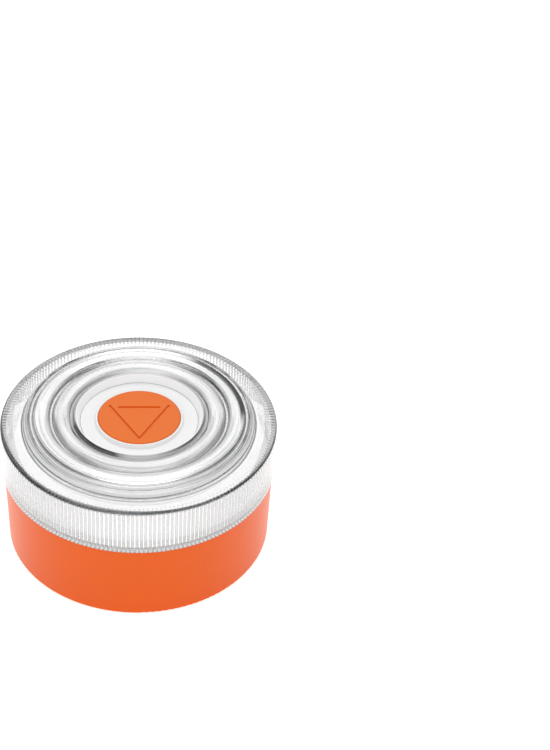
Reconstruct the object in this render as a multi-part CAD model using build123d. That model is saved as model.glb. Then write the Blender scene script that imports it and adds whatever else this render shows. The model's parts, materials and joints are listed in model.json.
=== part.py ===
from build123d import *

import os
from math import cos, radians, sin, sqrt

# A round LED emergency beacon that clings to a car roof with magnets.
# Millimetres. The origin is the centre of the underside, +Z is up, and -Y is the side that faces the user.
# Each function in the middle builds one node: a single piece, or a group of identical ones.

# ---------------------------------------------------------------- housing
LENS_R = 47.5             # outside of the clear lens
LENS_WALL = 2.3
RIM_Z = 47.7              # flat rim of the lens
RIM_T = 2.2
MOUND_H = 3.2             # the ringed mound stands this far above the rim
MOUND_FOOT_R = 39.9
RING_GROOVES = (37.0, 30.2, 23.2)
RING_GROOVE_DEPTH = 1.2
GROOVE_HALF = 1.0
FLUTES = 200              # upright optical ribs on the inside of the lens wall
FLUTE_DEPTH = 0.4
SEAM_Z = 30.1             # top of the orange base
SEAM_GAP = 0.15
BASE_Z = 0.4              # underside of the base
BASE_BOTTOM_R = 46.1
BASE_TOP_R = 46.85
BASE_WALL = 2.0
FLOOR_T = 2.2
SEAL_T = 0.45             # flat seal between base and lens

# ---------------------------------------------------------------- underside
FOOT_R = (42.3, 44.6)     # rubber ring that the beacon stands on
FOOT_DEPTH = 0.5
MAGNET_R = 5.5
MAGNET_T = 3.0
MAGNET_Z = 1.3
MAGNET_ORBIT = 36.6
MAGNET_ANGLES = (60, 120, 240, 300)
DOOR_BACK_X = -33.0       # hinge edge and free edge of the battery door
DOOR_FRONT_X = 31.2
DOOR_HALF_Y = 24.7
DOOR_T = 2.4
DOOR_GAP = 0.3
DOOR_TAB_R = 6.2          # round tab that holds the lock
LOCK_X = 35.0
LOCK_SHAFT_R = 1.95
LEDGE_Z = 3.6             # the door's gasket sits under this face
PLATE_TOP_Z = 5.1
HINGE_R = DOOR_T / 2
HINGE_X = DOOR_BACK_X + HINGE_R - 0.05
HINGE_Z = BASE_Z + HINGE_R
HINGE_PIN_R = 0.75
HINGE_PIN_L = 42.0
EAR_Y = 16.0              # two ears on the base hold the hinge pin
EAR_W = 5.0
DOOR_SLOT_X = HINGE_X + 2.0   # slots in the door clear the ears

# ---------------------------------------------------------------- battery bay
CELL_R = 7.1
CELL_L = 50.5
CELL_ROWS = (-14.6, 0.0, 14.6)
CELL_Z = 12.9
BAY_X = 28.6              # half sizes of the inside of the tray
BAY_Y = 22.3
TRAY_WALL = 1.3
TRAY_TOP_Z = 22.0
PLATE_T = 0.3             # spring-steel contacts
PLATE_GAP = 0.05

# ---------------------------------------------------------------- boards and light
BOARD_T = 1.6
MAIN_BOARD_Z = 23.8
MAIN_BOARD_R = 35.5
BOARD_POSTS = (22.0, 18.0)
FRAME_POSTS = (28.4, 28.4)
POST_TOP_Z = 27.0
FRAME_R = 44.55
LED_BOARD_Z = 32.0
LED_BOARD_R = 41.8
LED_COUNT = 24
LED_ORBIT = 24.4
BELL_FOOT_R = 22.0
BELL_LIP_R = 39.8
BELL_SCREW_ORBIT = 18.9
BELL_SCREW_ANGLES = (30, 150, 270)
SEAT_GAP = 0.02           # parts that rest on each other are drawn this far apart

# ---------------------------------------------------------------- button
BUTTON_R = 14.2
BUTTON_TOP_Z = RIM_Z + 1.4
BUTTON_TRAVEL = 0.8
BEZEL_Z = RIM_Z + 0.1
BEZEL_R = 20.6
BEZEL_T = 1.2
LIP_R = 21.92             # top of the bezel's lip, which lies against the inmost ring of the lens
COLLAR_TOP_Z = RIM_Z + 1.25
COLLAR_BORE_R = 14.3
COLLAR_FOOT_Z = 43.6
SWITCH_TOP_Z = 37.1
PLUNGER_R = 3.42
PLUNGER_TOP_Z = 38.7
MARK_SIDE = 20.2          # warning triangle cut into the button
MARK_W = 0.9
MARK_DEPTH = 0.5

LED_BOARD_TOP = LED_BOARD_Z + BOARD_T
MAIN_BOARD_TOP = MAIN_BOARD_Z + BOARD_T


# ---------------------------------------------------------------- shared helpers
def polar(radius, degrees):
    return radius * cos(radians(degrees)), radius * sin(radians(degrees))


def ring(r_in, r_out, z0, z1):
    """A flat ring standing from z0 to z1, or a disc when r_in is 0."""
    solid = Pos(0, 0, z0) * extrude(Circle(r_out), z1 - z0)
    if r_in > 0:
        solid -= Pos(0, 0, z0) * extrude(Circle(r_in), z1 - z0)
    return solid


def post(x, y, radius, z0, z1):
    return Pos(x, y, 0) * ring(0, radius, z0, z1)


def block(x0, x1, y0, y1, z0, z1):
    return Pos((x0 + x1) / 2, (y0 + y1) / 2, (z0 + z1) / 2) * Box(x1 - x0, y1 - y0, z1 - z0)


def rounded_block(half_x, half_y, corner, z0, z1):
    return Pos(0, 0, z0) * extrude(RectangleRounded(2 * half_x, 2 * half_y, corner), z1 - z0)


def rod_y(x, z, radius, length):
    """A round bar along Y."""
    return Pos(x, 0, z) * Rot(90, 0, 0) * Cylinder(radius, length)


def turned(points):
    """A solid turned about Z from a closed outline of (radius, z) points."""
    outline = Polyline([(r, 0, z) for r, z in points], close=True)
    return revolve(make_face(outline), Axis.Z)


def joined(*steps):
    """Edges in the XZ plane through (r, z) points; a step with a middle point makes an arc."""
    edges = []
    at = steps[0]
    for step in steps[1:]:
        if isinstance(step[0], tuple):
            middle, end = step
            edges.append(ThreePointArc((at[0], 0, at[1]), (middle[0], 0, middle[1]), (end[0], 0, end[1])))
            at = end
        else:
            edges.append(Line((at[0], 0, at[1]), (step[0], 0, step[1])))
            at = step
    return edges


def coil(radius, wire, z0, z1, turns):
    """A compression spring standing between z0 and z1."""
    height = z1 - z0 - 2 * wire
    path = Helix(pitch=height / turns, height=height, radius=radius)
    start = Plane(origin=path @ 0, z_dir=path % 0)
    return Pos(0, 0, z0 + wire) * sweep(start * Circle(wire), path=path, is_frenet=True)


def corners(half_sizes):
    x, y = half_sizes
    return [(x, y), (-x, y), (-x, -y), (x, -y)]


def screw(x, y, seat_z, shank_r, shank_l, head_r, head_h):
    """A cross-recess screw driven downwards, with its head standing on seat_z."""
    body = post(x, y, shank_r, seat_z - shank_l, seat_z) + post(x, y, head_r, seat_z, seat_z + head_h)
    for turn in (0, 90):
        body -= Pos(x, y, seat_z + head_h) * Rot(0, 0, turn) * Box(head_r * 1.1, head_r * 0.3, head_h)
    return body


def base_radius(z):
    """Outer radius of the tapered base at a height."""
    share = (z - BASE_Z) / (SEAM_Z - BASE_Z)
    return BASE_BOTTOM_R + (BASE_TOP_R - BASE_BOTTOM_R) * share


# ---------------------------------------------------------------- housing
def door_outline(grow, z0, z1):
    """Footprint of the battery door: square at its hinge, rounded at its free end, with a lock tab."""
    tab_r = DOOR_TAB_R + grow
    half_y = DOOR_HALF_Y + grow
    body = rounded_block(DOOR_FRONT_X + grow, half_y, 3.0, z0, z1)
    body += block(DOOR_BACK_X - grow, 0, -half_y, half_y, z0, z1)
    body += block(LOCK_X - 12, LOCK_X, -tab_r, tab_r, z0, z1)
    return body + post(LOCK_X, 0, tab_r, z0, z1)


def base_blank():
    """The tapered cup, before its floor is built up and cut."""
    floor_z = BASE_Z + FLOOR_T
    rim_z = SEAM_Z - SEAL_T
    cup = turned([
        (0, BASE_Z), (BASE_BOTTOM_R, BASE_Z), (BASE_TOP_R, rim_z), (BASE_TOP_R - BASE_WALL, rim_z),
        (base_radius(floor_z) - BASE_WALL, floor_z), (0, floor_z),
    ])
    return fillet(cup.edges().group_by(Axis.Z)[0], 0.6)


def base_bosses():
    """What stands on the floor: the door frame, the lock plate, magnet cups and screw posts."""
    floor_z = BASE_Z + FLOOR_T
    bosses = rounded_block(35.2, 27.0, 4.0, floor_z, PLATE_TOP_Z)
    bosses += block(30, 43, -9.5, 9.5, floor_z, PLATE_TOP_Z)
    for x, y in corners(FRAME_POSTS):
        bosses += post(x, y, 3.2, floor_z, POST_TOP_Z)
    for angle in MAGNET_ANGLES:
        bosses += post(*polar(MAGNET_ORBIT, angle), MAGNET_R + 1.3, floor_z, PLATE_TOP_Z)
    return bosses & ring(0, base_radius(floor_z) - BASE_WALL + 0.2, floor_z, SEAM_Z)


def base_shell():
    """Orange base: everything else hangs on it."""
    shell = base_blank() + base_bosses()
    shell -= door_outline(DOOR_GAP, BASE_Z, LEDGE_Z)
    shell -= block(-BAY_X, BAY_X, -BAY_Y, BAY_Y, LEDGE_Z, PLATE_TOP_Z)
    shell -= Pos(LOCK_X, 0, LEDGE_Z) * extrude(SlotOverall(10.6, 4.6), PLATE_TOP_Z - LEDGE_Z)
    shell -= ring(*FOOT_R, BASE_Z, BASE_Z + FOOT_DEPTH)
    for x, y in corners(FRAME_POSTS):
        shell -= post(x, y, 1.25, POST_TOP_Z - 10, POST_TOP_Z)
    for angle in MAGNET_ANGLES:
        shell -= post(*polar(MAGNET_ORBIT, angle), MAGNET_R + 0.1, MAGNET_Z, PLATE_TOP_Z)
    for y in (-EAR_Y, EAR_Y):
        shell += block(DOOR_BACK_X - DOOR_GAP, HINGE_X + 1.4, y - EAR_W / 2, y + EAR_W / 2, BASE_Z, LEDGE_Z)
    return shell - rod_y(HINGE_X, HINGE_Z, HINGE_PIN_R + 0.02, HINGE_PIN_L + 0.2)


def ringed_top():
    """Outer face of the lens, from its seam over the rim and the rings to the button opening."""
    top = RIM_Z + MOUND_H
    crown = top + 0.3
    edge = 1.0                        # rounded outer edge
    edge_mid = edge * (1 - sqrt(0.5))
    outline = [
        (LENS_R, SEAM_Z + SEAM_GAP), (LENS_R, RIM_Z - edge),
        ((LENS_R - edge_mid, RIM_Z - edge_mid), (LENS_R - edge, RIM_Z)),
        (MOUND_FOOT_R, RIM_Z), (MOUND_FOOT_R - 0.3, RIM_Z + 0.6), (RING_GROOVES[0] + GROOVE_HALF, top - 0.6),
    ]
    for outer, inner in zip(RING_GROOVES, RING_GROOVES[1:]):
        start, end = outer - GROOVE_HALF, inner + GROOVE_HALF
        outline += [(outer, top - RING_GROOVE_DEPTH), (start, top), (((start + end) / 2, crown), (end, top))]
    crest = RING_GROOVES[-1] - GROOVE_HALF
    outline += [(RING_GROOVES[-1], top - RING_GROOVE_DEPTH), (crest, top)]
    return outline + [(crest - 1.1, BEZEL_Z), (BEZEL_R + 0.1, BEZEL_Z)]


def lens_cover():
    """Clear cover: fluted wall, flat rim, and a raised mound of rings round the button."""
    wall_in = LENS_R - LENS_WALL
    under_rim = RIM_Z - RIM_T
    under_mound = RIM_Z + 1.0
    seat_z = BEZEL_Z - BEZEL_T
    bore_r = 18.6
    outline = joined(
        *ringed_top(), (BEZEL_R + 0.1, seat_z), (bore_r, seat_z), (bore_r, RIM_Z - 2.0), (22.6, RIM_Z - 2.0),
        (24.6, under_mound), (37.0, under_mound), (38.8, RIM_Z), (39.2, under_rim), (wall_in, under_rim),
        (wall_in, SEAM_Z + SEAM_GAP), (LENS_R, SEAM_Z + SEAM_GAP),
    )
    cover = revolve(make_face(Curve() + outline), Axis.Z)
    cover -= flutes(wall_in, SEAM_Z + 0.8, under_rim)
    return cover + lens_catches(wall_in + FLUTE_DEPTH + 0.3)


def flutes(radius, z0, z1):
    """A scalloped prism that leaves FLUTES rounded ribs on the wall it is cut from."""
    step = 360 / FLUTES
    arcs = [
        ThreePointArc(polar(radius, i * step), polar(radius + FLUTE_DEPTH, (i + 0.5) * step),
                      polar(radius, (i + 1) * step))
        for i in range(FLUTES)
    ]
    return Pos(0, 0, z0) * extrude(make_face(Curve() + arcs), z1 - z0)


def lens_catches(root_r):
    """Six bumps inside the foot of the lens that snap into the inner frame."""
    width = 8                         # degrees
    section = turned([(root_r, SEAM_Z + 0.8), (44.4, SEAM_Z + 0.8), (44.0, SEAM_Z + 1.2),
                      (44.0, SEAM_Z + 1.6), (root_r, SEAM_Z + 2.9)])
    reach = LENS_R + 5
    catches = []
    for angle in range(0, 360, 60):
        start, end = angle - width / 2, angle + width / 2
        wedge = make_face(Polyline([(0, 0), polar(reach, start), polar(reach, end)], close=True))
        catches.append(section & (Pos(0, 0, SEAM_Z) * extrude(wedge, 4)))
    return catches


def lens_gasket():
    """White flat seal on the rim of the base; the lens wall stands on it."""
    inner, outer = BASE_TOP_R - BASE_WALL + 0.1, BASE_TOP_R - 0.1
    return ring(inner, outer, SEAM_Z - SEAL_T + SEAT_GAP, SEAM_Z + SEAM_GAP - SEAT_GAP)


def foot_ring():
    inner, outer = FOOT_R
    return ring(inner + 0.02, outer - 0.02, 0, BASE_Z + FOOT_DEPTH - SEAT_GAP)


def magnets():
    z0 = MAGNET_Z + SEAT_GAP
    return [post(*polar(MAGNET_ORBIT, a), MAGNET_R, z0, z0 + MAGNET_T) for a in MAGNET_ANGLES]


def magnet_caps():
    """Plastic plugs glued over the magnets."""
    z0 = MAGNET_Z + MAGNET_T + 2 * SEAT_GAP
    return [post(*polar(MAGNET_ORBIT, a), MAGNET_R, z0, PLATE_TOP_Z) for a in MAGNET_ANGLES]


# ---------------------------------------------------------------- battery bay
def battery_tray():
    """White box over the cells, glued to the base plate, with four posts for the main board."""
    x, y = BAY_X + TRAY_WALL, BAY_Y + TRAY_WALL
    ceiling = TRAY_TOP_Z - TRAY_WALL
    foot_z = PLATE_TOP_Z + SEAT_GAP
    tray = block(-x, x, -y, y, foot_z, TRAY_TOP_Z) - block(-BAY_X, BAY_X, -BAY_Y, BAY_Y, foot_z, ceiling)
    for row in (-1, 1):
        middle = row * CELL_ROWS[2] / 2
        tray += block(-20, 20, middle - 0.5, middle + 0.5, ceiling - 2.2, ceiling)
    for px, py in corners(BOARD_POSTS):
        tray += post(px, py, 2.6, TRAY_TOP_Z, MAIN_BOARD_Z)
        tray -= post(px, py, 0.85, TRAY_TOP_Z - 1.0, MAIN_BOARD_Z)
    for px in (-20.0, 20.0):
        for y0, y1 in ((-y - 2.6, -y), (y, y + 2.6)):
            tray += block(px - 3.2, px + 3.2, y0, y1, foot_z, foot_z + 1.7)
    for side in (-1, 1):
        tray -= terminal_tab(side, ceiling, TRAY_TOP_Z, 0.2)
    return tray


def terminal_tab(side, z0, z1, grow):
    """The strip of a terminal that rises to the main board; grow makes the slot it passes through."""
    x_out = BAY_X - PLATE_GAP
    x0, x1 = sorted((side * (x_out + grow), side * (x_out - PLATE_T - grow)))
    y = side * CELL_ROWS[2]
    return block(x0, x1, y - 1.6 - grow, y + 1.6 + grow, z0, z1)


def battery_cells():
    """Three AA cells laid head to tail."""
    nub_l = 1.2
    can_l = CELL_L - nub_l
    cells = []
    for i, y in enumerate(CELL_ROWS):
        can = Cylinder(CELL_R, can_l)
        can = fillet(can.edges().filter_by(GeomType.CIRCLE), 0.5)
        can += Pos(0, 0, CELL_L / 2) * Cylinder(2.75, nub_l)
        cells.append(Pos(0, y, CELL_Z) * Rot(0, 90 * (-1) ** i, 0) * Pos(0, 0, -nub_l / 2) * can)
    return cells


def contact_plates():
    """Two bridges and two terminals on the end walls, each with a dimple for a cell's button end."""
    x_out = BAY_X - PLATE_GAP
    reach = x_out - CELL_L / 2 - 0.1
    half = 5.0
    low, high = CELL_Z - half, CELL_Z + half
    a, b, c = CELL_ROWS
    plates = []
    for side, y0, y1, dimple_y in ((-1, a, a, None), (-1, b, c, b), (1, a, b, a), (1, c, c, c)):
        x0, x1 = sorted((side * x_out, side * (x_out - PLATE_T)))
        plate = block(x0, x1, y0 - half, y1 + half, low, high)
        if y0 == y1:
            plate += terminal_tab(side, high, MAIN_BOARD_TOP + 0.8, 0)
        if dimple_y is not None:
            plate += Pos(side * (x_out - reach / 2), dimple_y, CELL_Z) * Rot(0, 90, 0) * Cylinder(2.2, reach)
        plates.append(plate)
    return plates


def contact_springs():
    """One coil behind the flat end of each cell."""
    free = BAY_X - PLATE_GAP - PLATE_T - CELL_L / 2
    springs = []
    for i, y in enumerate(CELL_ROWS):
        side = -1 if i % 2 == 0 else 1
        one = coil(3.6, 0.3, 0.1, free - 0.1, 2.5)
        springs.append(Pos(side * CELL_L / 2, y, CELL_Z) * Rot(0, side * 90, 0) * one)
    return springs


# ---------------------------------------------------------------- battery door
def battery_door():
    z1 = BASE_Z + DOOR_T
    behind = DOOR_BACK_X - 1
    door = door_outline(0, BASE_Z, z1) - block(behind, HINGE_X, -DOOR_HALF_Y, DOOR_HALF_Y, BASE_Z, z1)
    door += rod_y(HINGE_X, HINGE_Z, HINGE_R, 2 * DOOR_HALF_Y)
    slot_half = EAR_W / 2 + 0.3
    for y in (-EAR_Y, EAR_Y):
        door -= block(behind, DOOR_SLOT_X, y - slot_half, y + slot_half, BASE_Z, z1)
    door -= rod_y(HINGE_X, HINGE_Z, HINGE_PIN_R + 0.05, 2 * DOOR_HALF_Y)
    door -= post(LOCK_X, 0, 4.2, BASE_Z, BASE_Z + 1.4)
    door -= post(LOCK_X, 0, LOCK_SHAFT_R + 0.1, BASE_Z, z1)
    for y in CELL_ROWS:               # ribs that hold the cells up
        door += block(-12, 12, y - 1.2, y + 1.2, z1, z1 + 2.8)
    for x in (15.0, 18.0, 21.0):      # finger grooves
        door -= block(x - 0.5, x + 0.5, -8, 8, BASE_Z, BASE_Z + 0.5)
    return door


def door_gasket():
    """Silicone seal stuck to the inside of the door, round the bay and the lock."""
    z0, z1 = BASE_Z + DOOR_T + SEAT_GAP, LEDGE_Z - 0.1
    width = 1.1
    inset = 0.5
    back = DOOR_SLOT_X + 0.1

    def patch(margin, back_x):
        return door_outline(-margin, z0, z1) - block(DOOR_BACK_X, back_x, -DOOR_HALF_Y, DOOR_HALF_Y, z0, z1)

    return patch(inset, back) - patch(inset + width, back + width)


def hinge_pin():
    return rod_y(HINGE_X, HINGE_Z, HINGE_PIN_R, HINGE_PIN_L)


def lock_knob():
    """Quarter-turn knob with a coin slot; its shaft carries the bar that hooks over the base plate."""
    knob = post(LOCK_X, 0, 4.0, BASE_Z, BASE_Z + 1.35)
    knob += post(LOCK_X, 0, LOCK_SHAFT_R, BASE_Z, PLATE_TOP_Z + 0.2)
    knob += post(LOCK_X, 0, 1.2, PLATE_TOP_Z, PLATE_TOP_Z + 1.6)
    knob -= Pos(LOCK_X, 0, BASE_Z) * Box(9, 1.3, 1.4)
    knob -= Pos(LOCK_X, 0, 0) * ring(1.35, LOCK_SHAFT_R, 2.0, 2.76)
    return knob - Pos(LOCK_X, 0, 0) * ring(1.5, LOCK_SHAFT_R, 2.9, 3.4)


def lock_bar():
    z0 = PLATE_TOP_Z + 0.2 + SEAT_GAP
    bar = Pos(LOCK_X, 0, z0) * extrude(SlotOverall(9.4, 3.4), 1.2)
    return bar - post(LOCK_X, 0, 1.22, z0, z0 + 1.2)


def lock_clip():
    """Open spring clip that keeps the knob in the door."""
    clip = ring(1.53, 3.1, 2.93, 3.37) - block(0, 4, -1.3, 1.3, 2.9, 3.4)
    return Pos(LOCK_X, 0, 0) * clip


def lock_seal():
    return Pos(LOCK_X, 0, 2.38) * Torus(1.7, 0.34)


# ---------------------------------------------------------------- frame, boards and light
def inner_frame():
    """White ring screwed to the base; the lens snaps onto it and the LED board lies in it."""
    inner_r = 42.0
    groove_r = 43.8
    frame = turned([
        (inner_r, POST_TOP_Z + SEAT_GAP), (FRAME_R, POST_TOP_Z + SEAT_GAP), (FRAME_R, SEAM_Z + 0.6),
        (groove_r, SEAM_Z + 0.9), (groove_r, SEAM_Z + 1.9), (FRAME_R, SEAM_Z + 2.8),
        (FRAME_R, LED_BOARD_TOP), (inner_r, LED_BOARD_TOP),
    ])
    flange_top = POST_TOP_Z + 1.6
    frame += ring(39.6, inner_r + 0.2, POST_TOP_Z + SEAT_GAP, LED_BOARD_Z - SEAT_GAP)
    frame += ring(34.0, inner_r + 0.2, POST_TOP_Z + SEAT_GAP, flange_top)
    for x, y in corners(FRAME_POSTS):
        frame -= post(x, y, 3.1, flange_top, flange_top + 2.4)
        frame -= post(x, y, 1.6, POST_TOP_Z, flange_top)
    hook_z = LED_BOARD_TOP + SEAT_GAP
    for angle in (90, 210, 330):
        hook = block(inner_r, inner_r + 1.0, -3, 3, LED_BOARD_Z, hook_z + 1.0)
        hook += block(inner_r - 0.8, inner_r, -3, 3, hook_z, hook_z + 1.0)
        frame += Rot(0, 0, angle) * hook
    return frame


def diffuser():
    """White opal cone between the LEDs and the lens wall; it stands on the inner frame."""
    foot_z = LED_BOARD_TOP + 0.05
    head_z = RIM_Z - RIM_T - 0.25
    foot_r, head_r = FRAME_R - 0.1, 41.15
    wall = 0.7
    return turned([(foot_r - wall, foot_z), (foot_r, foot_z), (head_r, head_z), (head_r - wall, head_z)])


def frame_screws():
    seat_z = POST_TOP_Z + 1.6 + SEAT_GAP
    return [screw(x, y, seat_z, 1.2, 8.0, 2.7, 1.8) for x, y in corners(FRAME_POSTS)]


def board_screws():
    seat_z = MAIN_BOARD_TOP + SEAT_GAP
    return [screw(x, y, seat_z, 0.8, 3.0, 1.9, 1.2) for x, y in corners(BOARD_POSTS)]


def reflector_screws():
    """Driven upwards through the LED board into the reflector."""
    upside_down = Rot(180, 0, 0)
    screws = []
    for angle in BELL_SCREW_ANGLES:
        one = upside_down * screw(0, 0, 0, 0.8, 4.6, 1.6, 0.9)
        screws.append(Pos(*polar(BELL_SCREW_ORBIT, angle), LED_BOARD_Z - SEAT_GAP) * one)
    return screws


def main_board():
    z0 = MAIN_BOARD_Z + SEAT_GAP
    board = ring(0, MAIN_BOARD_R, z0, MAIN_BOARD_TOP)
    for x, y in corners(BOARD_POSTS):
        board -= post(x, y, 1.1, z0, MAIN_BOARD_TOP)
    for x, y in corners(FRAME_POSTS):
        board -= post(x, y, 4.2, z0, MAIN_BOARD_TOP)
    for side in (-1, 1):
        board -= terminal_tab(side, z0, MAIN_BOARD_TOP, 0.15)
    return board


def led_board():
    board = ring(0, LED_BOARD_R, LED_BOARD_Z, LED_BOARD_TOP)
    for angle in BELL_SCREW_ANGLES:
        board -= post(*polar(BELL_SCREW_ORBIT, angle), 1.0, LED_BOARD_Z, LED_BOARD_TOP)
    return board


def amber_leds():
    """Surface-mount emitters in a ring round the foot of the reflector: a square package and a dome."""
    dome_r = 1.2
    dome = Sphere(dome_r) & Pos(0, 0, dome_r) * Box(3 * dome_r, 3 * dome_r, 2 * dome_r)
    led = Pos(0, 0, 0.35) * Box(2.8, 3.5, 0.7) + Pos(0, 0, 0.35) * dome
    placed = Pos(LED_ORBIT, 0, LED_BOARD_TOP + SEAT_GAP) * led
    return [Rot(0, 0, (i + 0.5) * 360 / LED_COUNT) * placed for i in range(LED_COUNT)]


def reflector():
    """White bell that turns the light of the LEDs outwards; its plateau backs the rings of the lens."""
    foot_z = LED_BOARD_TOP + SEAT_GAP
    foot_in = BELL_FOOT_R - 1.6
    top_z = RIM_Z - 0.1
    lip_top = RIM_Z - RIM_T - 0.2
    lip_z = lip_top - 0.9
    hub_z = RIM_Z - 2.5
    skin = 1.3
    outside = Spline((BELL_FOOT_R, 0, foot_z), (25.6, 0, 40.0), (31.5, 0, 43.2), (BELL_LIP_R, 0, lip_z),
                     tangents=[(0.2, 0, 1), (1, 0, 0.1)])
    inside = Spline((foot_in, 0, foot_z), (24.2, 0, 41.2), (29.5, 0, 44.2), (36.3, 0, top_z - skin),
                    tangents=[(0.2, 0, 1), (1, 0, 0.3)])
    edges = joined(
        (BELL_LIP_R, lip_z), (BELL_LIP_R, lip_top), (38.4, lip_top), (37.4, top_z), (25.3, top_z),
        (23.3, hub_z), (16.3, hub_z), (16.3, hub_z - skin), (24.0, hub_z - skin), (25.8, top_z - skin),
        (36.3, top_z - skin),
    )
    bell = revolve(make_face(Curve() + [outside, *edges, inside, Line((foot_in, 0, foot_z),
                                                                     (BELL_FOOT_R, 0, foot_z))]), Axis.Z)
    for angle in BELL_SCREW_ANGLES:
        x, y = polar(BELL_SCREW_ORBIT, angle)
        bell += post(x, y, 2.0, foot_z, foot_z + 5.0)
        bell -= post(x, y, 0.85, foot_z, foot_z + 4.0)
    return bell


# ---------------------------------------------------------------- button
def tact_switch():
    housing = block(-6, 6, -6, 6, LED_BOARD_TOP + SEAT_GAP, SWITCH_TOP_Z)
    return housing - post(0, 0, PLUNGER_R + 0.08, SWITCH_TOP_Z - 1.2 - BUTTON_TRAVEL, SWITCH_TOP_Z)


def switch_plunger():
    return post(0, 0, PLUNGER_R, SWITCH_TOP_Z - 1.0, PLUNGER_TOP_Z)


def button_bezel():
    """White dish in the middle of the lens: a collar round the button, a flat disc and a raised lip."""
    under_z = BEZEL_Z - BEZEL_T + 0.05
    lip_foot_z = BEZEL_Z + 0.08
    lip_top_z = RIM_Z + 2.75
    return turned([
        (COLLAR_BORE_R, COLLAR_FOOT_Z), (15.9, COLLAR_FOOT_Z), (15.9, under_z), (BEZEL_R, under_z),
        (BEZEL_R, lip_foot_z), (BEZEL_R + 0.38, lip_foot_z), (LIP_R, lip_top_z), (LIP_R - 0.45, lip_top_z),
        (BEZEL_R - 0.1, BEZEL_Z), (15.3, BEZEL_Z),
        (14.95, COLLAR_TOP_Z - 0.2), (14.75, COLLAR_TOP_Z), (COLLAR_BORE_R, COLLAR_TOP_Z),
    ])


def groove(start, end):
    """A straight round-ended groove in the top of the button."""
    (x0, y0), (x1, y1) = start, end
    along = Line((x0, y0), (x1, y1))
    outline = Pos(0, 0, BUTTON_TOP_Z - MARK_DEPTH) * SlotCenterToCenter(along.length, MARK_W)
    turn = 60 if x0 < x1 and y0 < y1 else -60 if y0 > y1 else 0
    return Pos((x0 + x1) / 2, (y0 + y1) / 2, 0) * Rot(0, 0, turn) * extrude(outline, MARK_DEPTH)


def triangle_grooves():
    """A warning triangle that points at the user; its bar stops short of its legs."""
    base_y = MARK_SIDE / sqrt(12)
    apex = (0, -2 * base_y)
    bar = MARK_SIDE * 0.34
    left = groove((-MARK_SIDE / 2, base_y), apex)
    right = groove(apex, (MARK_SIDE / 2, base_y))
    return left + right + groove((-bar, base_y - 0.7), (bar, base_y - 0.7))


def push_button():
    """Orange cap with the triangle, a flange that keeps it in the bezel, and a stem to the switch."""
    foot_z = COLLAR_FOOT_Z - 1.15
    under_top = BUTTON_TOP_Z - 2.4
    cap = ring(0, BUTTON_R, foot_z, BUTTON_TOP_Z)
    cap = fillet(cap.edges().group_by(Axis.Z)[-1], 0.35)
    cap += ring(0, 15.2, foot_z, foot_z + 1.0)
    cap -= ring(0, BUTTON_R - 1.8, foot_z, under_top)
    cap += post(0, 0, 2.5, PLUNGER_TOP_Z + 0.05, under_top + 0.2)
    for angle in (0, 60, 120):
        cap += Pos(0, 0, under_top - 1.2) * Rot(0, 0, angle) * Box(2 * BUTTON_R - 3.2, 1.2, 2.8)
    cap -= ring(BUTTON_R - 0.8, BUTTON_R + 0.1, 45.5, 46.5)
    return cap - triangle_grooves()


def button_seal():
    """O-ring in the cap's groove, running in the bezel."""
    return Pos(0, 0, 46.0) * Torus(BUTTON_R - 0.36, 0.4)


def button_spring():
    """Return spring between the switch body and the cap's ribs."""
    return coil(4.4, 0.3, SWITCH_TOP_Z + 0.05, BUTTON_TOP_Z - 5.1, 4)


# ---------------------------------------------------------------- electronics
def chip(x, y, length, width, height, board_top):
    z = board_top + SEAT_GAP
    return block(x - length / 2, x + length / 2, y - width / 2, y + width / 2, z, z + height)


def modem_module():
    """Cellular modem: a small carrier board under a tin shield."""
    return chip(-12, 4, 18, 16, 0.8, MAIN_BOARD_TOP) + chip(-12, 4, 16.4, 14.4, 2.4, MAIN_BOARD_TOP)


def processor_chip():
    return chip(8, -8, 7, 7, 0.9, MAIN_BOARD_TOP)


def sim_chip():
    return chip(-20, -12, 6, 5, 0.8, MAIN_BOARD_TOP)


def driver_chip():
    return chip(10, -10, 5, 5, 1.0, LED_BOARD_TOP)


def board_header():
    """Connector that joins the two boards."""
    return chip(17, 0, 4, 14, LED_BOARD_Z - MAIN_BOARD_TOP - 2 * SEAT_GAP, MAIN_BOARD_TOP)


def reserve_capacitor():
    """Electrolytic capacitor lying on the main board."""
    radius = 3.1
    can = Cylinder(radius, 11.0)
    can = fillet(can.edges().filter_by(GeomType.CIRCLE), 0.5)
    return Pos(7, 15, MAIN_BOARD_TOP + 0.1 + radius) * Rot(0, 90, 0) * can


def power_choke():
    """Bobbin choke of the LED supply: two flanges on a waist."""
    waist = ring(0, 2.4, 0, 3.6)
    flanges = ring(0, 4.2, 0, 0.8) + ring(0, 4.2, 2.8, 3.6)
    return Pos(2, -18, MAIN_BOARD_TOP + SEAT_GAP) * (waist + flanges)


def gnss_antenna():
    """Ceramic patch antenna on the LED board, with its metal patch."""
    return chip(0, 13, 12, 12, 4.0, LED_BOARD_TOP) + chip(0, 13, 9.4, 9.4, 4.15, LED_BOARD_TOP)


def cellular_antenna():
    """Thin curved antenna stuck to the inside of the base wall."""
    z0, z1 = 9.0, 22.0
    wedge = make_face(Polyline([(0, 0), polar(60, 196), polar(60, 256)], close=True))
    return ring(43.75, 43.95, z0, z1) & (Pos(0, 0, z0) * extrude(wedge, z1 - z0))


def antenna_cable():
    """Coaxial cable from the antenna, over the edge of the main board, to the modem."""
    path = Spline((-14.0, -40.6, 19.0), (-13.8, -38.9, 22.6), (-13.4, -35.8, 25.7), (-13.0, -30.0, 26.3),
                  (-12.4, -16.0, 26.5), (-12.0, -4.5, 26.3))
    start = Plane(origin=path @ 0, z_dir=path % 0)
    return sweep(start * Circle(0.5), path=path)


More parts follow.
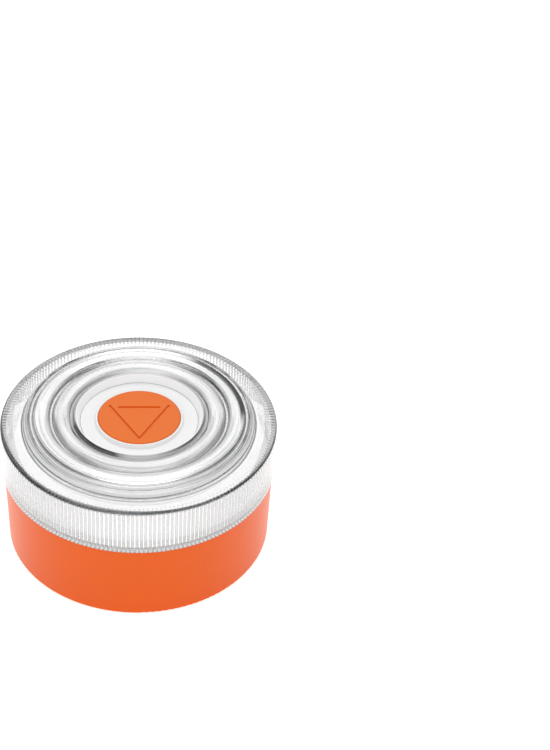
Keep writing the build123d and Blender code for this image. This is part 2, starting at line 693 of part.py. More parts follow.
# ---------------------------------------------------------------- output
NODES = (
    base_shell, lens_cover, lens_gasket, foot_ring, magnets, magnet_caps, battery_tray, battery_cells,
    contact_plates, contact_springs, battery_door, door_gasket, hinge_pin, lock_knob, lock_bar,
    lock_clip, lock_seal, inner_frame, diffuser, frame_screws, board_screws, reflector_screws,
    main_board, led_board, amber_leds, reflector, tact_switch, switch_plunger, button_bezel, push_button,
    button_seal, button_spring, modem_module, processor_chip, sim_chip, driver_chip, board_header,
    reserve_capacitor, power_choke, gnss_antenna, cellular_antenna, antenna_cable,
)

os.makedirs("parts", exist_ok=True)
for build_node in NODES:
    shape = build_node()
    if isinstance(shape, list):
        shape = Compound(children=shape)
    export_step(shape, f"parts/{build_node.__name__}.step")
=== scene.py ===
import json
from math import cos, radians, sin, sqrt, tau

import bpy
import numpy as np
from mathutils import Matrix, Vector


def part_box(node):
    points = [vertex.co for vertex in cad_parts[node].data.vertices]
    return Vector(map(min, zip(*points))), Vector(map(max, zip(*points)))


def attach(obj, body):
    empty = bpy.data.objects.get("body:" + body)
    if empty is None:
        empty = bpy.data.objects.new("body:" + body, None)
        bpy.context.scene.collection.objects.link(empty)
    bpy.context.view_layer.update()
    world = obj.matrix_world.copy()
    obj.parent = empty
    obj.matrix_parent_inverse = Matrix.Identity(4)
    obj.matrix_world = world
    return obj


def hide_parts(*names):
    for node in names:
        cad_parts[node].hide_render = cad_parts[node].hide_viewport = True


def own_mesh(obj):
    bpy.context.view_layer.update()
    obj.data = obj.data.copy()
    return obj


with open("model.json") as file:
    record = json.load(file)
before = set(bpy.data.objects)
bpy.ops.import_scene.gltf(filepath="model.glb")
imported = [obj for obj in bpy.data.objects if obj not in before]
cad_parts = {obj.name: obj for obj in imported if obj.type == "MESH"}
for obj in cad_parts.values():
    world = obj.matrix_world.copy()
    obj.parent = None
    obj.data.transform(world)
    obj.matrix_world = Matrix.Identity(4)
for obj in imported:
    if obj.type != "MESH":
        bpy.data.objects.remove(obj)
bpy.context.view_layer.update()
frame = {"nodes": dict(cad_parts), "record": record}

# The visual model of a round LED emergency beacon. Outlines are (radius, height) pairs in millimetres, in the
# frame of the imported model: +Z up, the origin under the centre, and -Y towards the user.
MM = 0.001


def top_of(node):
    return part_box(node)[1].z / MM


def bottom_of(node):
    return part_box(node)[0].z / MM


def radius_of(node):
    low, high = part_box(node)
    return (high.x - low.x) / 2 / MM


# ---------------------------------------------------------------- sizes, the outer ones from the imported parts
LENS_R = radius_of("lens_cover")
LENS_FOOT = bottom_of("lens_cover")
WALL_IN = LENS_R - 2.3            # radius of the inner face of the fluted wall
MOUND_TOP = top_of("lens_cover")
RING_EDGE = MOUND_TOP - 0.3       # height of the rings where their crowns begin
RIM = MOUND_TOP - 3.5             # flat rim of the lens
UNDER_RIM = RIM - 2.2
MOUND_FOOT_R = 39.9
GROOVES = (37.0, 30.2, 23.2)      # radii of the grooves between the rings
FLUTES = 200                      # upright ribs on the inside of the lens wall
FLUTE_DEPTH = 0.4
FLUTE_FOOT = LENS_FOOT + 0.3
DISC = RIM + 0.1                  # flat face of the bezel
DISC_R = 20.6
LIP_R = radius_of("button_bezel")
LIP_TOP = top_of("button_bezel")
COLLAR_TOP = RIM + 1.25
COLLAR_FOOT = bottom_of("button_bezel")


# ---------------------------------------------------------------- outlines and meshes
def arc(start, middle, end, steps):
    """Points on the circle through three points, from start to end."""
    (ax, ay), (bx, by), (cx, cy) = start, middle, end
    d = 2 * (ax * (by - cy) + bx * (cy - ay) + cx * (ay - by))
    a2, b2, c2 = ax * ax + ay * ay, bx * bx + by * by, cx * cx + cy * cy
    ux = (a2 * (by - cy) + b2 * (cy - ay) + c2 * (ay - by)) / d
    uy = (a2 * (cx - bx) + b2 * (ax - cx) + c2 * (bx - ax)) / d
    a0, am, a1 = (np.arctan2(y - uy, x - ux) for x, y in (start, middle, end))
    turn = (a1 - a0) % tau
    if (am - a0) % tau > turn:
        turn -= tau
    r = sqrt((ax - ux) ** 2 + (ay - uy) ** 2)
    angles = [a0 + turn * i / steps for i in range(steps + 1)]
    return [(ux + r * cos(angle), uy + r * sin(angle)) for angle in angles]


def soften(outline, radius):
    """A closed outline with each corner rounded; a corner may give its own radius as a third number."""
    steps = 4
    straight = radians(88)            # half the angle of a corner that is too flat to round
    rounded = []
    for i, corner in enumerate(outline):
        here = np.array(corner[:2], float)
        before = np.array(outline[i - 1][:2], float) - here
        after = np.array(outline[(i + 1) % len(outline)][:2], float) - here
        wanted = corner[2] if len(corner) > 2 else radius
        room = 0.45 * min(np.linalg.norm(before), np.linalg.norm(after))
        before /= np.linalg.norm(before)
        after /= np.linalg.norm(after)
        half = np.arccos(np.clip(before @ after, -1, 1)) / 2
        if half > straight:
            rounded.append(tuple(here))
            continue
        back = min(wanted / np.tan(half), room)
        a, b = here + before * back, here + after * back
        for k in range(steps + 1):
            t = k / steps
            rounded.append(tuple((1 - t) ** 2 * a + 2 * t * (1 - t) * here + t * t * b))
    return rounded


def mesh_object(name, shape, material, node):
    """A smooth-shaded piece that rides on the housing and stands for a CAD node. Shape: (vertices, faces)."""
    vertices, faces = shape
    mesh = bpy.data.meshes.new(name)
    mesh.from_pydata([tuple(v) for v in vertices], [], faces)
    mesh.update()
    mesh.polygons.foreach_set("use_smooth", [True] * len(mesh.polygons))
    mesh.materials.append(MATERIALS[material])
    piece = bpy.data.objects.new(name, mesh)
    bpy.context.scene.collection.objects.link(piece)
    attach(piece, "housing")
    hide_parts(node)
    return piece


def loft(rows, closed):
    """Faces between rows of points, each row a closed loop; closed joins the last row to the first."""
    count, size = rows.shape[:2]
    faces = []
    for s in range(count if closed else count - 1):
        n = (s + 1) % count
        for k in range(size):
            m = (k + 1) % size
            faces.append((s * size + k, n * size + k, n * size + m, s * size + m))
    return faces


def turned_mesh(outline, segments, spread=None):
    """Vertices and faces of a closed outline turned about Z. spread(points, angles) adds to each radius."""
    outline = np.array(outline, float)
    angles = np.arange(segments) * tau / segments
    radii = np.repeat(outline[None, :, 0], segments, axis=0)
    if spread is not None:
        radii = radii + spread(outline, angles)
    x = radii * np.cos(angles)[:, None]
    y = radii * np.sin(angles)[:, None]
    z = np.repeat(outline[None, :, 1], segments, axis=0)
    rows = np.stack([x, y, z], axis=2)
    return rows.reshape(-1, 3) * MM, loft(rows, closed=True)


def coil_mesh(radius, wire, foot, head, turns):
    """A compression spring with its last turns laid flat."""
    around, steps = 10, 28            # points round the wire, and rows in one turn
    t = np.linspace(0, 1, int(steps * turns) + 1)
    flat = 0.8 / turns
    lift = np.clip((t - flat) / (1 - 2 * flat), 0, 1)
    middle_z = foot + wire + lift * (head - foot - 2 * wire)
    turn = t * turns * tau
    side = np.arange(around) * tau / around
    r = radius + wire * np.cos(side)[None, :]
    x = r * np.cos(turn)[:, None]
    y = r * np.sin(turn)[:, None]
    z = middle_z[:, None] + wire * np.sin(side)[None, :]
    rows = np.stack([x, y, z], axis=2)
    faces = loft(rows, closed=False)
    last = (len(t) - 1) * around
    faces.append(tuple(range(around)))
    faces.append(tuple(last + k for k in reversed(range(around))))
    return rows.reshape(-1, 3) * MM, faces


# ---------------------------------------------------------------- node trees
class Nodes:
    """The node tree of a material or a world, with short ways to add nodes and wire them."""

    def __init__(self, owner):
        owner.use_nodes = True
        self.tree = owner.node_tree
        self.tree.nodes.clear()

    def add(self, kind, inputs=None, **settings):
        node = self.tree.nodes.new("ShaderNode" + kind)
        for key, value in settings.items():
            setattr(node, key, value)
        for key, value in (inputs or {}).items():
            self.feed(node.inputs[key], value)
        return node

    def feed(self, socket, value):
        if isinstance(value, bpy.types.NodeSocket):
            self.tree.links.new(value, socket)
        elif isinstance(value, tuple) and len(value) == 3 and socket.type == "RGBA":
            socket.default_value = (*value, 1)
        else:
            socket.default_value = value

    def maths(self, operation, *values, clamp=False):
        node = self.add("Math", operation=operation, use_clamp=clamp)
        for socket, value in zip(node.inputs, values):
            self.feed(socket, value)
        return node.outputs[0]

    def chain(self, operation, values):
        """The first value, with the operation applied to it and each other value in turn."""
        result, *others = values
        for value in others:
            result = self.maths(operation, result, value)
        return result

    def product(self, *values):
        return self.chain("MULTIPLY", values)

    def total(self, *values):
        return self.chain("ADD", values)

    def most(self, *values):
        return self.chain("MAXIMUM", values)

    def mix(self, share, a, b):
        """Surface a where share is 0 and surface b where it is 1."""
        return self.add("MixShader", {0: share, 1: a, 2: b}).outputs[0]


class Graph(Nodes):
    """A material's node tree. Lengths are in millimetres."""

    def __init__(self, name):
        self.material = bpy.data.materials.new(name)
        super().__init__(self.material)
        self.where = self.add("TexCoord").outputs["Object"]

    def axes(self):
        """X, Y and Z of the point being shaded, in millimetres."""
        scaled = self.add("VectorMath", {0: self.where, "Scale": 1 / MM}, operation="SCALE")
        return self.add("SeparateXYZ", {0: scaled.outputs[0]}).outputs[:3]

    def radius(self, x, y):
        """Distance from the Z axis."""
        return self.maths("SQRT", self.total(self.product(x, x), self.product(y, y)))

    def fade(self, value, start, end):
        """0 at start, 1 at end, and a smooth step between."""
        node = self.add("MapRange", {"Value": value, "From Min": start, "From Max": end},
                        interpolation_type="SMOOTHSTEP")
        return node.outputs[0]

    def line(self, value, middle, half, core=0.3):
        """1 at middle and 0 from half away from it; core is the share of half that is still 1."""
        away = self.maths("ABSOLUTE", self.maths("SUBTRACT", value, middle))
        return self.fade(away, half, half * core)

    def noise(self, size, detail=2, stretch=(1, 1, 1)):
        """Cloudy pattern, 0 to 1, with features about size across."""
        placed = self.add("Mapping", {"Vector": self.where, "Scale": stretch}).outputs[0]
        return self.add("TexNoise", {"Vector": placed, "Scale": 1 / MM / size, "Detail": detail}).outputs[0]

    def blend(self, share, a, b, kind="MIX"):
        """Colour a where share is 0 and colour b where it is 1."""
        return self.add("Mix", {0: share, 6: a, 7: b}, data_type="RGBA", blend_type=kind).outputs[2]

    def range(self, share, low, high):
        return self.add("MapRange", {"Value": share, "To Min": low, "To Max": high}).outputs[0]

    def bump(self, height, strength, distance=0.1):
        inputs = {"Height": height, "Strength": strength, "Distance": distance * MM}
        return self.add("Bump", inputs).outputs[0]

    def diffuse(self, colour):
        return self.add("BsdfDiffuse", {"Color": colour}).outputs[0]

    def principled(self, **inputs):
        named = {key.replace("_", " "): value for key, value in inputs.items()}
        return self.add("BsdfPrincipled", named).outputs[0]

    def finish(self, surface):
        self.add("OutputMaterial", {"Surface": surface})
        return self.material


class LensGraph(Graph):
    """A graph that also knows where on the lens a point is. An azimuth of -90 degrees faces the user."""

    def __init__(self, name):
        super().__init__(name)
        x, y, self.z = self.axes()
        self.r = self.radius(x, y)
        self.cosine = self.maths("DIVIDE", x, self.r)
        self.sine = self.maths("DIVIDE", y, self.r)
        self.sideways = self.fade(self.maths("ABSOLUTE", self.cosine), 0.15, 0.75)      # 1 at left and right
        self.behind = self.maths("MULTIPLY", self.towards(90, 115), 3.0, clamp=True)    # 1 on the back half
        self.on_rings = self.fade(self.z, RIM + 0.4, RIM + 1.0)
        off_mound = self.fade(self.r, MOUND_FOOT_R, MOUND_FOOT_R + 0.3)
        self.on_rim = self.product(self.fade(self.z, RIM - 0.5, RIM - 0.2), off_mound)
        phase = self.maths("FRACT", self.product(self.maths("ARCTAN2", y, x), FLUTES / tau))
        self.off_flute = self.maths("ABSOLUTE", self.maths("SUBTRACT", phase, 0.5))    # 0.5 between flutes

    def towards(self, azimuth, reach):
        """1 on the side of the lens at an azimuth and 0 from reach degrees away from it."""
        angle = radians(azimuth)
        ahead = self.total(self.product(self.cosine, cos(angle)), self.product(self.sine, sin(angle)))
        return self.fade(ahead, cos(radians(reach)), 1.0)

    def circles(self, radii, half):
        """1 on circles round the axis, each half wide to either side."""
        return self.most(*[self.line(self.r, radius, half) for radius in radii])


# ---------------------------------------------------------------- plain materials
def shade(colour, factor):
    return tuple(min(1.0, c * factor) for c in colour)


def plastic(name, colour, roughness, grain=0.06, shine=0.5):
    """Moulded plastic: a slight colour mottle, uneven gloss and a fine moulded grain."""
    g = Graph(name)
    broad = g.noise(14, 3)
    return g.finish(g.principled(
        Base_Color=g.blend(broad, shade(colour, 0.97), shade(colour, 1.03)),
        Roughness=g.range(broad, roughness * 0.85, roughness * 1.15),
        Specular_IOR_Level=shine, Normal=g.bump(g.noise(0.35), grain),
    ))


def rubber(name, colour):
    """Matt rubber with a dusty bloom."""
    g = Graph(name)
    bloom = g.noise(3, 4)
    return g.finish(g.principled(
        Base_Color=g.blend(bloom, colour, shade(colour, 1.35)), Roughness=g.range(bloom, 0.6, 0.85),
        Specular_IOR_Level=0.3, Normal=g.bump(g.noise(0.25), 0.25),
    ))


def metal(name, colour, roughness, stretch=(1, 1, 1), grain=0.1):
    """Bare or plated metal; stretch draws its grain out along one axis."""
    g = Graph(name)
    marks = g.noise(0.6, 4, stretch)
    return g.finish(g.principled(
        Base_Color=g.blend(marks, shade(colour, 0.9), shade(colour, 1.08)), Metallic=1.0,
        Roughness=g.range(marks, roughness * 0.7, roughness * 1.4), Normal=g.bump(marks, grain, 0.05),
    ))


def board(name, mask, track):
    """Solder mask over copper tracks, with scattered plated holes."""
    g = Graph(name)
    plating = (0.72, 0.6, 0.35)
    black, white = (0, 0, 0), (1, 1, 1)
    per_metre = 420                   # how often the pattern repeats
    placed = g.add("Mapping", {"Vector": g.where, "Scale": (per_metre, per_metre, 0)}).outputs[0]
    tracks = g.add("TexBrick", {"Vector": placed, "Scale": 1.0, "Mortar Size": 0.06, "Color1": black,
                                "Color2": black, "Mortar": white}).outputs["Color"]
    cells = g.add("TexVoronoi", {"Vector": placed, "Scale": 0.8}, feature="F1").outputs["Distance"]
    holes = g.fade(cells, 0.11, 0.07)
    return g.finish(g.principled(
        Base_Color=g.blend(holes, g.blend(tracks, mask, track), plating), Metallic=holes,
        Roughness=g.range(g.noise(2), 0.3, 0.45), Normal=g.bump(tracks, 0.3, 0.05),
    ))


def two_tone(name, share, first, second):
    """Two finishes on one node, split by share(graph). A finish is (colour, metallic, roughness)."""
    g = Graph(name)
    split = share(g)
    speckle = g.noise(0.4, 3)
    varied = [g.blend(speckle, shade(f[0], 0.93), shade(f[0], 1.05)) for f in (first, second)]
    return g.finish(g.principled(
        Base_Color=g.blend(split, *varied), Metallic=g.range(split, first[1], second[1]),
        Roughness=g.range(split, first[2], second[2]), Normal=g.bump(speckle, 0.12, 0.05),
    ))


def above(level):
    """Share for two_tone: 0 below a height and 1 above it."""
    return lambda g: g.fade(g.axes()[2], level - 0.03, level + 0.03)


def near_middle(limit):
    """Share for two_tone: 1 within limit of the YZ plane and 0 beyond it, as on a cell or a capacitor."""
    return lambda g: g.fade(g.maths("ABSOLUTE", g.axes()[0]), limit + 0.05, limit - 0.05)


def bezel_plastic(name):
    """White plastic, painted brighter on the lip than on the disc as painted light, with a thin painted shadow
    line where the two meet.
    """
    g = Graph(name)
    # The lip's brighter white is painted light on the same white plastic as the disc; shadow is the grey of the
    # painted shadow line.
    disc, lip, shadow = (0.88, 0.88, 0.88), (0.99, 0.99, 0.99), (0.3, 0.3, 0.3)
    r = g.radius(*g.axes()[:2])
    broad = g.noise(14, 3)
    white = g.blend(g.fade(r, DISC_R - 0.3, DISC_R - 0.2), disc, lip)
    clouds = g.blend(broad, (0.97, 0.97, 0.97), (1.0, 1.0, 1.0))
    clouded = g.blend(1.0, white, clouds, "MULTIPLY")
    painted_shadow_line = g.line(r, DISC_R - 0.35, 0.16, core=0.375)
    return g.finish(g.principled(
        Base_Color=g.blend(painted_shadow_line, clouded, shadow), Roughness=g.range(broad, 0.26, 0.34),
        Normal=g.bump(g.noise(0.35), 0.06),
    ))


# ---------------------------------------------------------------- the clear lens
# Its grooves, flutes and outer edge look dark where they bend light away; that darkness is painted shade in the
# lens's colour. Each function below gives a part of that painted shade, 0 to 1.
def groove_lines(g):
    """Painted shade: a broad and a fine dark line on each side of every groove, darkest at the user's left and
    right.
    """
    uneven = g.range(g.noise(9, 3), 0.65, 1.35)
    broad = g.circles([groove + off for groove in GROOVES for off in (-0.75, 0.7)], 0.38)
    fine = g.circles([groove + off for groove in GROOVES for off in (-1.35, 1.25)], 0.2)
    return g.most(g.product(broad, g.sideways, uneven, 0.72),
                  g.product(fine, g.range(g.sideways, 0.2, 0.55), uneven))


def crescents(g):
    """Painted shade: two black arcs, one at the front left of the inmost ring and one at the back right of the
    outmost.
    """
    front_left = g.product(g.line(g.r, GROOVES[2] - 0.5, 0.8), g.towards(-138, 42))
    back_right = g.product(g.line(g.r, GROOVES[0] - 1.6, 1.1), g.towards(28, 40))
    return g.maths("MULTIPLY", g.total(front_left, back_right), 1.5, clamp=True)


def mound_foot_line(g):
    """A dark line of painted shade along the back of the mound's foot."""
    just_up = g.fade(g.z, RIM + 0.1, RIM + 0.3)
    return g.product(g.line(g.r, MOUND_FOOT_R - 0.4, 0.45), g.towards(85, 80), just_up, 0.8)


def rim_edge(g):
    """Painted shade on the outer edge of the rim, wider and darker in front."""
    widened = g.total(g.r, g.range(g.towards(-125, 60), 0.0, 0.9))
    outermost = g.fade(widened, LENS_R - 0.95, LENS_R - 0.45)
    upper = g.fade(g.z, RIM - 0.8, RIM - 0.45)
    return g.product(outermost, upper, g.range(g.towards(-110, 130), 0.3, 0.93))


def flute_lines(g):
    """Painted shade: thin lines between the flutes, and faint spokes where the flutes show through the back of
    the rim.
    """
    on_flutes = g.product(g.fade(g.r, WALL_IN + 0.7, WALL_IN + 0.5),
                          g.fade(g.r, WALL_IN - 0.2, WALL_IN - 0.05))
    cusps = g.product(g.fade(g.off_flute, 0.35, 0.47), on_flutes, g.range(g.behind, 0.5, 0.25))
    over_wall = g.fade(g.r, LENS_R - 5.0, LENS_R - 4.0)
    spokes = g.product(g.fade(g.off_flute, 0.22, 0.42), over_wall, g.on_rim, g.behind, 0.28)
    return g.most(cusps, spokes)


def painted_greys(g):
    """Painted shade: soft grey streaks that run round the rings, a little greyer at the left and right, and the
    grey of the rim, greyer behind.
    """
    round_about = g.add("CombineXYZ", {0: g.cosine, 1: g.sine, 2: g.r}).outputs[0]
    clouds = g.add("TexNoise", {"Vector": round_about, "Scale": 1.3, "Detail": 3}).outputs[0]
    streaks = g.product(g.fade(clouds, 0.46, 0.66), 0.2)
    rings = g.product(g.total(g.product(g.sideways, 0.06), streaks), g.on_rings)
    return g.total(rings, g.product(g.on_rim, g.range(g.behind, 0.32, 0.4)))


def clear_plastic(name):
    """Clear polycarbonate that lets lamps through, with the darkness of the functions above painted into its
    colour as painted shade. Three hidden faces are frosted white: its foot, the wall against the bezel's lip
    and the underside round the button; the painted shade and painted dark teeth at the foot show on them too."""
    g = LensGraph(name)
    # Clear glass and the near-black of the painted shade on it; frosted white and the painted shade on the
    # frosted faces.
    clean, painted_shade = (0.985, 0.99, 0.99), (0.03, 0.032, 0.035)
    frost, painted_frost_shade = (0.9, 0.9, 0.9), (0.05, 0.05, 0.05)
    # All the painted shade of the lens, 0 to 1, from the functions above.
    on_mound = g.product(g.most(groove_lines(g), crescents(g)), g.on_rings)
    lines = g.most(on_mound, mound_foot_line(g), rim_edge(g), flute_lines(g))
    dark = g.maths("ADD", lines, painted_greys(g), clamp=True)
    glass = g.principled(Base_Color=g.blend(dark, clean, painted_shade), Transmission_Weight=1.0, IOR=1.5,
                         Roughness=g.range(g.noise(5), 0.01, 0.035))
    through = g.add("BsdfTransparent", {"Color": (0.97, 0.97, 0.97)}).outputs[0]
    path = g.add("LightPath").outputs
    clear = g.mix(g.most(path["Is Shadow Ray"], path["Is Diffuse Ray"]), glass, through)
    foot = g.fade(g.z, LENS_FOOT + 0.06, LENS_FOOT + 0.02)
    outward = g.range(g.fade(g.r, LENS_R - 0.9, LENS_R - 0.6), 0.3, 0.7)
    # Painted shade: dark teeth at the foot between the flutes, darker towards the outside.
    teeth = g.product(g.fade(g.off_flute, 0.2, 0.4), outward, foot)
    by_lip = g.product(g.fade(g.r, LIP_R + 0.38, LIP_R + 0.23), g.fade(g.z, RIM + 0.12, RIM + 0.2))
    underside = g.product(g.fade(g.r, 28.5, 27.5), g.fade(g.z, RIM + 1.3, RIM + 1.22))
    frosted = g.diffuse(g.blend(g.most(dark, teeth), frost, painted_frost_shade))
    return g.finish(g.mix(g.most(foot, by_lip, underside), clear, frosted))


# ---------------------------------------------------------------- colours and finishes
NICKEL = ((0.72, 0.7, 0.66), 1.0, 0.25)
BARE_STEEL = ((0.62, 0.62, 0.62), 1.0, 0.3)
DARK_WRAP = ((0.035, 0.045, 0.07), 0.0, 0.28)
DARK_SLEEVE = ((0.02, 0.03, 0.09), 0.0, 0.3)
LED_CASE = ((0.85, 0.85, 0.82), 0.0, 0.45)
AMBER_DOME = ((0.95, 0.42, 0.03), 0.0, 0.12)
BEIGE_CERAMIC = ((0.6, 0.53, 0.42), 0.0, 0.7)
COPPER_WIRE = ((0.55, 0.2, 0.06), 1.0, 0.3)
BLACK_FERRITE = ((0.03, 0.03, 0.033), 0.0, 0.6)
DOME_FOOT = top_of("amber_leds") - 1.2
PATCH_FOOT = top_of("gnss_antenna") - 0.1
CORE_FOOT = top_of("power_choke") - 0.9
MATERIALS = {
    "orange_shell": plastic("orange_shell", (0.9, 0.13, 0.008), 0.33, shine=0.22),
    "orange_button": plastic("orange_button", (0.85, 0.165, 0.01), 0.42, shine=0.2),
    "clear_lens": clear_plastic("clear_lens"),
    "white_plastic": plastic("white_plastic", (0.82, 0.82, 0.82), 0.3),
    "bezel_white": bezel_plastic("bezel_white"),
    "opal": plastic("opal", (0.88, 0.88, 0.88), 0.4),
    "white_inner": plastic("white_inner", (0.8, 0.8, 0.795), 0.5, grain=0.15),
    "white_seal": rubber("white_seal", (0.66, 0.66, 0.655)),
    "silicone": rubber("silicone", (0.42, 0.43, 0.44)),
    "black_rubber": rubber("black_rubber", (0.022, 0.022, 0.024)),
    "nickel": metal("nickel", (0.72, 0.71, 0.69), 0.16, grain=0.04),
    "steel": metal("steel", (0.56, 0.57, 0.58), 0.32),
    "spring_steel": metal("spring_steel", (0.66, 0.65, 0.62), 0.24, stretch=(1, 1, 0.1)),
    "cell_wrap": two_tone("cell_wrap", near_middle(23.6), BARE_STEEL, DARK_WRAP),
    "main_pcb": board("main_pcb", (0.012, 0.12, 0.045), (0.02, 0.19, 0.075)),
    "led_pcb": board("led_pcb", (0.76, 0.77, 0.76), (0.8, 0.81, 0.8)),
    "led_amber": two_tone("led_amber", above(DOME_FOOT), LED_CASE, AMBER_DOME),
    "chip_black": plastic("chip_black", (0.018, 0.018, 0.02), 0.55, grain=0.4),
    "tin_shield": metal("tin_shield", (0.62, 0.62, 0.6), 0.35, stretch=(1, 0.08, 1)),
    "ceramic": two_tone("ceramic", above(PATCH_FOOT), BEIGE_CERAMIC, NICKEL),
    "capacitor_sleeve": two_tone("capacitor_sleeve", near_middle(11.6), BARE_STEEL, DARK_SLEEVE),
    "ferrite": two_tone("ferrite", above(CORE_FOOT), COPPER_WIRE, BLACK_FERRITE),
    "copper_film": metal("copper_film", (0.75, 0.36, 0.16), 0.35),
    "cable_black": rubber("cable_black", (0.02, 0.02, 0.02)),
}


# ---------------------------------------------------------------- pieces
def lens_top():
    """Outside of the lens, from its foot up the wall and over the rim and the rings to the bezel."""
    outer, middle, inner = GROOVES
    foot, edge = MOUND_FOOT_R, RING_EDGE
    half = 0.8                        # half the width of a groove
    shoulder = 1.2                    # from the middle of a groove to where a ring's crown begins
    bend = 0.293                      # how far inside its corner the middle of a 1 mm round lies

    def crown(outside, inside):
        start, end = (outside - shoulder, edge + 0.05), (inside + shoulder, edge + 0.05)
        return arc(start, ((outside + inside) / 2, MOUND_TOP), end, 14)

    outline = [(LENS_R, LENS_FOOT), (LENS_R, LENS_FOOT + 0.4)]
    outline += arc((LENS_R, RIM - 1.0), (LENS_R - bend, RIM - bend), (LENS_R - 1.0, RIM), 8)
    outline += [(foot + 0.6, RIM)]
    outline += arc((foot, RIM + 0.02), (foot - 0.25, RIM + 0.15), (foot - 0.4, RIM + 0.5), 5)
    outline += arc((foot - 0.55, RIM + 0.9), (foot - 1.0, RIM + 2.0), (outer + 1.0, RIM + 2.6), 8)
    outline += arc((outer + half, edge - 0.75), (outer, edge - 1.2), (outer - half, edge - 0.25), 10)
    outline += crown(outer, middle)
    outline += arc((middle + half, edge - 0.3), (middle, edge - 1.3), (middle - half, edge - 0.3), 10)
    outline += crown(middle, inner)
    outline += arc((inner + half, edge - 0.3), (inner, edge - 1.2), (inner - 0.7, edge - 0.4), 10)
    outline += arc((inner - 0.8, edge - 0.15), (inner - 0.95, edge), (inner - 1.1, edge - 0.15), 4)
    return outline


def lens_underside():
    """Inside of the lens, from the hole for the bezel, under the mound and down the fluted wall."""
    hole, bore = DISC_R + 0.1, DISC_R - 2.0
    seat, under_seat = RIM - 1.1, RIM - 2.0
    slope_foot, slope_top = bore + 4.0, bore + 6.0
    hollow, ceiling = MOUND_FOOT_R - 0.7, RIM + 1.2
    outline = [(hole + 0.4, DISC), (hole, DISC), (hole, seat), (bore, seat), (bore, under_seat)]
    outline += [(slope_foot, under_seat), (slope_top, ceiling), (hollow - 2.6, ceiling)]
    bend = (hollow - 0.6, ceiling - 0.5)
    outline += arc((hollow - 2.0, ceiling - 0.1), bend, (hollow - 0.1, ceiling - 1.4), 6)
    outline += [(hollow, UNDER_RIM), (WALL_IN - 0.5, UNDER_RIM), (WALL_IN, UNDER_RIM - 0.02)]
    outline += [(WALL_IN, z) for z in np.linspace(UNDER_RIM - 0.3, FLUTE_FOOT, 6)]
    outline += [(WALL_IN, FLUTE_FOOT - 0.02), (WALL_IN, LENS_FOOT)]
    return outline


def scallops(points, angles):
    """What the flutes add to the radius of each point of the lens at each angle."""
    hair = 0.001
    phase = (angles * FLUTES / tau) % 1
    depth = FLUTE_DEPTH * (1 - (2 * phase - 1) ** 2)
    r, z = points[:, 0], points[:, 1]
    fluted = (abs(r - WALL_IN) < hair) & (z < UNDER_RIM - 0.01) & (z > FLUTE_FOOT - hair)
    return depth[:, None] * fluted[None, :]


def build_lens():
    """Clear cover: fluted wall, flat rim, and a mound of rings round the button."""
    points_per_flute = 8
    shape = turned_mesh(lens_top() + lens_underside(), FLUTES * points_per_flute, scallops)
    lens = mesh_object("lens_shell", shape, material="clear_lens", node="lens_cover")
    lens.data.set_sharp_from_angle(angle=radians(32))


def build_bezel():
    """White dish round the button: a collar, a flat disc and a lip against the inmost ring."""
    bore, skirt, collar = 14.3, 15.9, 15.3    # radii
    under, rest = DISC - 1.15, DISC + 0.08    # heights: under the disc, and where the lip rests on the lens
    outline = soften([
        (bore, COLLAR_FOOT), (skirt, COLLAR_FOOT), (skirt, under), (DISC_R, under), (DISC_R, rest),
        (DISC_R + 0.38, rest), (LIP_R, LIP_TOP), (LIP_R - 0.45, LIP_TOP, 0.2), (DISC_R - 0.1, DISC, 0.3),
        (collar, DISC, 0.25), (collar - 0.35, COLLAR_TOP, 0.2), (bore, COLLAR_TOP, 0.15),
    ], 0.1)
    shape = turned_mesh(outline, segments=360)
    mesh_object("bezel_ring", shape, material="bezel_white", node="button_bezel")


def build_spring():
    """Return spring of the button, drawn at one fixed length; the real one is squeezed as the button goes down.
    """
    foot, head = bottom_of("button_spring"), top_of("button_spring")
    shape = coil_mesh(radius=4.4, wire=0.3, foot=foot, head=head, turns=6)
    spring = mesh_object("return_spring", shape, material="spring_steel",
                         node="button_spring")
    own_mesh(spring)


def dress_cad_nodes():
    """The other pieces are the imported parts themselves, shaded smooth, each with its own material."""
    slots = {part["node"]: part["material_slot"] for part in frame["record"]["subparts"]}
    for name, node in frame["nodes"].items():
        if node.hide_render:          # a mesh above stands for it
            continue
        node.data.polygons.foreach_set("use_smooth", [True] * len(node.data.polygons))
        node.data.set_sharp_from_angle(angle=radians(28))
        node.data.materials.clear()
        node.data.materials.append(MATERIALS[slots[name]])


build_lens()
build_bezel()
build_spring()
dress_cad_nodes()


# ---------------------------------------------------------------- stage, light and camera (lengths in metres)
def build_floor():
    """Pale paper, bright to the camera, see-through from below and to light that skims the object's foot."""
    reach, skim, glow = 3.0, 0.0015, 0.6
    corners = [(-reach, -reach, 0), (reach, -reach, 0), (reach, reach, 0), (-reach, reach, 0)]
    mesh = bpy.data.meshes.new("floor")
    mesh.from_pydata(corners, [], [(0, 1, 2, 3)])
    floor = bpy.data.objects.new("floor", mesh)
    bpy.context.scene.collection.objects.link(floor)
    g = Graph("floor")
    paper = g.diffuse(g.blend(g.noise(4), (0.91, 0.91, 0.91), (0.93, 0.93, 0.93)))
    path = g.add("LightPath").outputs
    seen = g.most(path["Is Camera Ray"], path["Is Glossy Ray"])
    lift = g.add("Emission", {"Color": (1.0, 1.0, 1.0), "Strength": g.product(seen, glow)}).outputs[0]
    front = g.add("AddShader", {0: paper, 1: lift}).outputs[0]
    open_air = g.add("BsdfTransparent").outputs[0]
    skims = g.maths("LESS_THAN", path["Ray Length"], skim)
    gone = g.most(g.add("NewGeometry").outputs["Backfacing"], skims)
    mesh.materials.append(g.finish(g.mix(gone, front, open_air)))


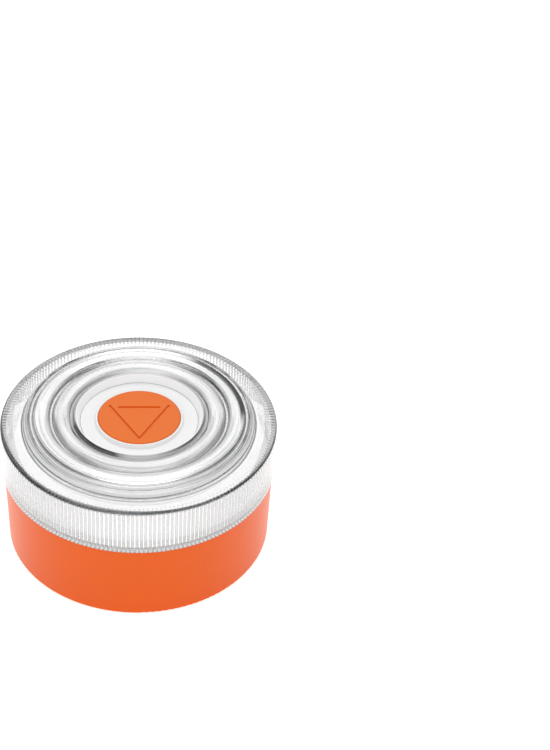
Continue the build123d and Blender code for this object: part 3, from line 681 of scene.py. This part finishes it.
def area_light(name, place, aim, size, power):
    light = bpy.data.lights.new(name, "AREA")
    light.shape = "RECTANGLE"
    light.size, light.size_y = size
    light.energy = power
    lamp = bpy.data.objects.new(name, light)
    lamp.location = place
    lamp.rotation_mode = "QUATERNION"
    lamp.rotation_quaternion = (Vector(aim) - Vector(place)).to_track_quat("-Z", "Y")
    bpy.context.scene.collection.objects.link(lamp)


def sky(g, height, greys, strength=1.0):
    """A background whose grey follows the height of the direction, from (height, grey) pairs."""
    ramp = g.add("ValToRGB", {0: height})
    stops = ramp.color_ramp.elements
    for stop, (at, grey) in zip(stops, (greys[0], greys[-1])):
        stop.position, stop.color = at, (grey, grey, grey, 1)
    for at, grey in greys[1:-1]:
        stops.new(at).color = (grey, grey, grey, 1)
    return g.add("Background", {"Color": ramp.outputs[0], "Strength": strength}).outputs[0]


def build_world():
    """A white studio, dimmer to the sides. What shines or bends light sees a dark band at the horizon."""
    front_strength, side_loss = 1.26, 0.3
    world = bpy.data.worlds.new("studio")
    bpy.context.scene.world = world
    g = Nodes(world)
    direction = g.add("SeparateXYZ", {0: g.add("TexCoord").outputs["Generated"]}).outputs
    sideways, height = direction[0], direction[2]
    strength = g.maths("SUBTRACT", front_strength, g.product(sideways, sideways, side_loss))
    soft = sky(g, height, [(0.0, 1.0), (0.3, 0.86), (1.0, 0.52)], strength)
    sharp = sky(g, height, [(0.0, 0.35), (0.1, 0.12), (0.2, 0.3), (0.32, 0.95), (1.0, 1.0)])
    path = g.add("LightPath").outputs
    bends = g.most(path["Is Glossy Ray"], path["Is Transmission Ray"])
    g.add("OutputWorld", {"Surface": g.mix(bends, soft, sharp)})


def build_camera():
    """Looks down on the object, which stands in the lower left of the frame."""
    elevation = radians(39.9)
    reach = 13.0 * LENS_R * MM
    left, low = 0.0758, 0.0250        # tangents of the angles from the frame's middle to the rim's centre
    away = Vector((0, -cos(elevation), sin(elevation)))
    data = bpy.data.cameras.new("camera")
    data.sensor_width = 36
    data.lens = 85.91
    data.clip_start, data.clip_end = 0.01, 20
    camera = bpy.data.objects.new("camera", data)
    camera.location = Vector((0, 0, RIM * MM)) + away * reach
    camera.rotation_mode = "QUATERNION"
    turn = Vector((-left, -low, -1)).rotation_difference(Vector((0, 0, -1)))
    camera.rotation_quaternion = (-away).to_track_quat("-Z", "Y") @ turn
    bpy.context.scene.collection.objects.link(camera)
    bpy.context.scene.camera = camera


build_floor()
build_world()
area_light("key", place=(-0.2, -0.5, 0.9), aim=(0, 0, 0.02), size=(0.4, 0.4), power=0.6)
area_light("back", place=(0.0, 0.75, 0.95), aim=(0, 0, 0.03), size=(0.35, 0.5), power=2.0)
build_camera()
bpy.context.scene.view_settings.view_transform = "Standard"
